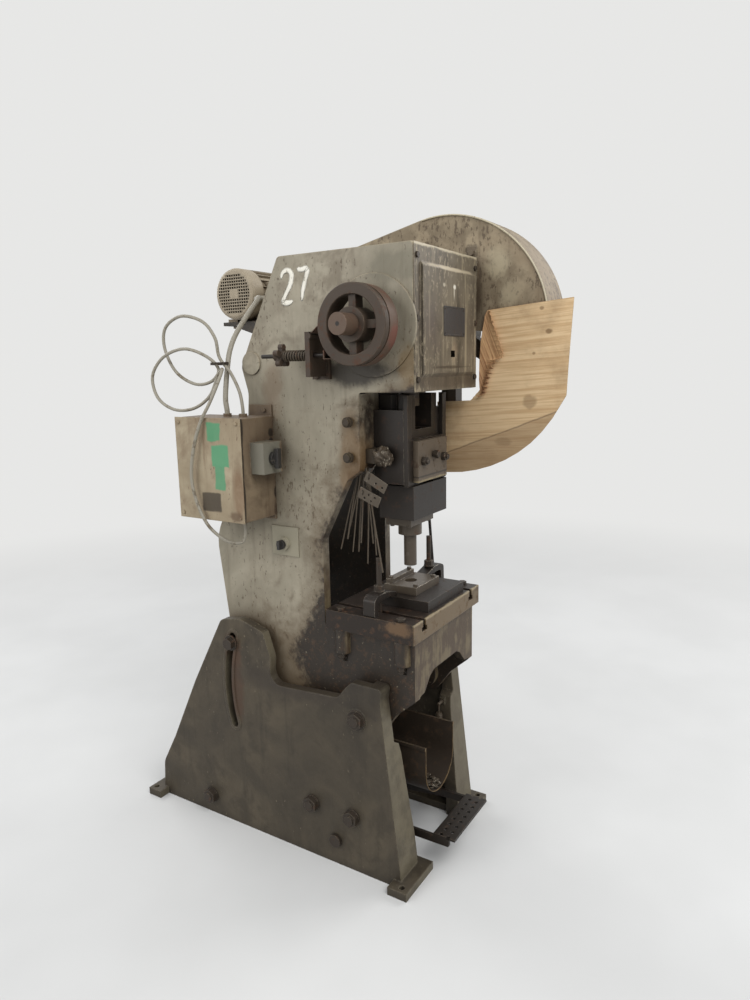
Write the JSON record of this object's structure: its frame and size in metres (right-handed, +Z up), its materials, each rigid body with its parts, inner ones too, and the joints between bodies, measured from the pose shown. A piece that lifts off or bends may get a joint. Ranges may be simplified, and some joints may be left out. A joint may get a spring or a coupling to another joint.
{
  "type": "mechanical stamping press",
  "caption": "Open-back inclinable C-frame eccentric press with band brake, belt-driven flywheel, ram, die set, treadle trip and a plywood guard.",
  "frame": {"origin": "centre of the four floor bolt holes, on the floor", "axes": "+X to the machine's right seen from its front, +Y to its back, +Z up"},
  "size_m": [0.7913, 1.397, 2.0319],
  "materials": {
    "leg_paint": "worn dark olive-grey paint with oil and dust",
    "frame_paint": "chipped pale grey-green paint with oil stains",
    "cover_paint": "brown-grey streaked paint",
    "guard_paint": "mottled grey-beige paint",
    "motor_paint": "faded beige-grey paint",
    "box_paint": "beige paint with rust",
    "drum_iron": "dark greasy cast iron",
    "cast_iron": "bare cast iron",
    "oily_steel": "brown oily steel, worn edges",
    "bright_steel": "machined steel",
    "fastener_steel": "black oxide steel, rusty",
    "spring_steel": "dull spring steel",
    "trough_steel": "rusty sheet steel",
    "bronze": "bearing bronze",
    "lining": "woven friction lining",
    "belt_rubber": "rubber belt",
    "plywood": "plywood",
    "cable_grey": "grey cable sheath",
    "black_plastic": "black moulded plastic"
  },
  "bodies": {
    "base": {"base_left_leg": "leg_paint", "base_right_leg": "leg_paint", "tie_rods": "fastener_steel", "pivot_shaft": "fastener_steel", "treadle_spring": "spring_steel", "scrap_trough": "trough_steel"},
    "treadle": {"treadle_shaft": "fastener_steel", "treadle": "oily_steel"},
    "treadle_link": {"treadle_link": "oily_steel"},
    "frame": {"frame_casting": "frame_paint", "clamp_bolts": "fastener_steel", "bolster": "oily_steel", "bolster_bolts": "fastener_steel", "front_cover": "cover_paint", "cover_screws": "fastener_steel", "crank_bushes": "bronze", "gibs": "oily_steel", "gib_bolts": "fastener_steel", "grease_cups": "bronze", "brake_lining": "lining", "brake_band": "drum_iron", "brake_bracket": "drum_iron", "brake_rod": "oily_steel", "brake_spring": "spring_steel", "die_plate": "oily_steel", "die_block": "bright_steel", "strap_clamps": "oily_steel", "strap_studs": "fastener_steel", "flywheel_guard": "guard_paint", "plywood_guard": "plywood", "drive_belts": "belt_rubber", "motor_bracket": "frame_paint", "motor_housing": "motor_paint", "fan_cover": "motor_paint", "control_box": "box_paint", "box_cover": "box_paint", "motor_lead": "cable_grey", "loop_cable": "cable_grey", "cable_tie": "cable_grey"},
    "brake_adjuster": {"brake_nut": "drum_iron"},
    "crank": {"crankshaft": "bright_steel", "clutch_collar": "cast_iron", "brake_drum": "drum_iron", "shaft_cap": "fastener_steel"},
    "conrod": {"connecting_rod": "cast_iron", "rod_cap": "cast_iron", "rod_bolts": "fastener_steel", "ball_screw": "bright_steel"},
    "ram": {"ram": "oily_steel", "shank_clamp": "oily_steel", "clamp_studs": "fastener_steel", "punch_block": "oily_steel", "punch": "bright_steel"},
    "flywheel": {"flywheel": "cast_iron"},
    "rotor": {"motor_rotor": "bright_steel", "motor_pulley": "cast_iron"},
    "isolator_lever": {"isolator_lever": "black_plastic"},
    "switch_knob": {"switch_knob": "black_plastic"},
    "trip_lever": {"trip_lever": "oily_steel"},
    "pull_rod": {"pull_rod": "oily_steel"}
  },
  "joints": [
    {"name": "frame_tilt", "type": "hinge", "parent": "base", "child": "frame", "pos_m": [0, -0.37, 0.519], "axis": [-1, 0, 0], "range_deg": [0, 30]},
    {"name": "crank_turn", "type": "hinge", "parent": "frame", "child": "crank", "pos_m": [0, -0.417, 1.676], "axis": [-1, 0, 0], "range_deg": [0, 180]},
    {"name": "rod_pivot", "type": "hinge", "parent": "crank", "child": "conrod", "pos_m": [0, -0.417, 1.7035], "axis": [-1, 0, 0], "range_deg": [-180, 0]},
    {"name": "ram_slide", "type": "slide", "parent": "frame", "child": "ram", "axis": [0, 0, 1], "range_m": [-0.055, 0]},
    {"name": "flywheel_spin", "type": "hinge", "parent": "frame", "child": "flywheel", "pos_m": [0, -0.417, 1.676], "axis": [1, 0, 0], "continuous": true},
    {"name": "motor_spin", "type": "hinge", "parent": "frame", "child": "rotor", "pos_m": [0, 0.25, 1.817], "axis": [1, 0, 0], "continuous": true},
    {"name": "brake_nut_turn", "type": "hinge", "parent": "frame", "child": "brake_adjuster", "pos_m": [-0.267, -0.161, 1.6], "axis": [0, 1, 0], "range_deg": [-180, 180]},
    {"name": "treadle_press", "type": "hinge", "parent": "base", "child": "treadle", "pos_m": [0, -0.28, 0.084], "axis": [1, 0, 0], "range_deg": [0, 6], "stiffness_Nm_per_rad": 120, "springref_deg": -14.32, "deforming": ["treadle_spring"]},
    {"name": "link_slide", "type": "slide", "parent": "base", "child": "treadle_link", "axis": [0, 0, -1], "range_m": [0, 0.0095]},
    {"name": "pull_rod_slide", "type": "slide", "parent": "frame", "child": "pull_rod", "axis": [0, 0, -1], "range_m": [0, 0.0095]},
    {"name": "trip_lever_turn", "type": "hinge", "parent": "frame", "child": "trip_lever", "pos_m": [0.21, -0.29, 1.6], "axis": [1, 0, 0], "range_deg": [0, 8.8]},
    {"name": "isolator_turn", "type": "hinge", "parent": "frame", "child": "isolator_lever", "pos_m": [-0.272, -0.11, 1.302], "axis": [0, 1, 0], "range_deg": [0, 90]},
    {"name": "knob_turn", "type": "hinge", "parent": "frame", "child": "switch_knob", "pos_m": [-0.22, -0.074, 1.02], "axis": [1, 0, 0], "range_deg": [0, 90]}
  ],
  "couplings": [
    {"joint": "rod_pivot", "follows": "crank_turn", "ratio": -1},
    {"joint": "ram_slide", "follows": "crank_turn", "m_per_rad": -0.0175},
    {"joint": "motor_spin", "follows": "flywheel_spin", "ratio": 7.1111},
    {"joint": "link_slide", "follows": "treadle_press", "m_per_rad": 0.09},
    {"joint": "pull_rod_slide", "follows": "treadle_press", "m_per_rad": 0.09},
    {"joint": "trip_lever_turn", "follows": "treadle_press", "ratio": 1.4516}
  ]
}
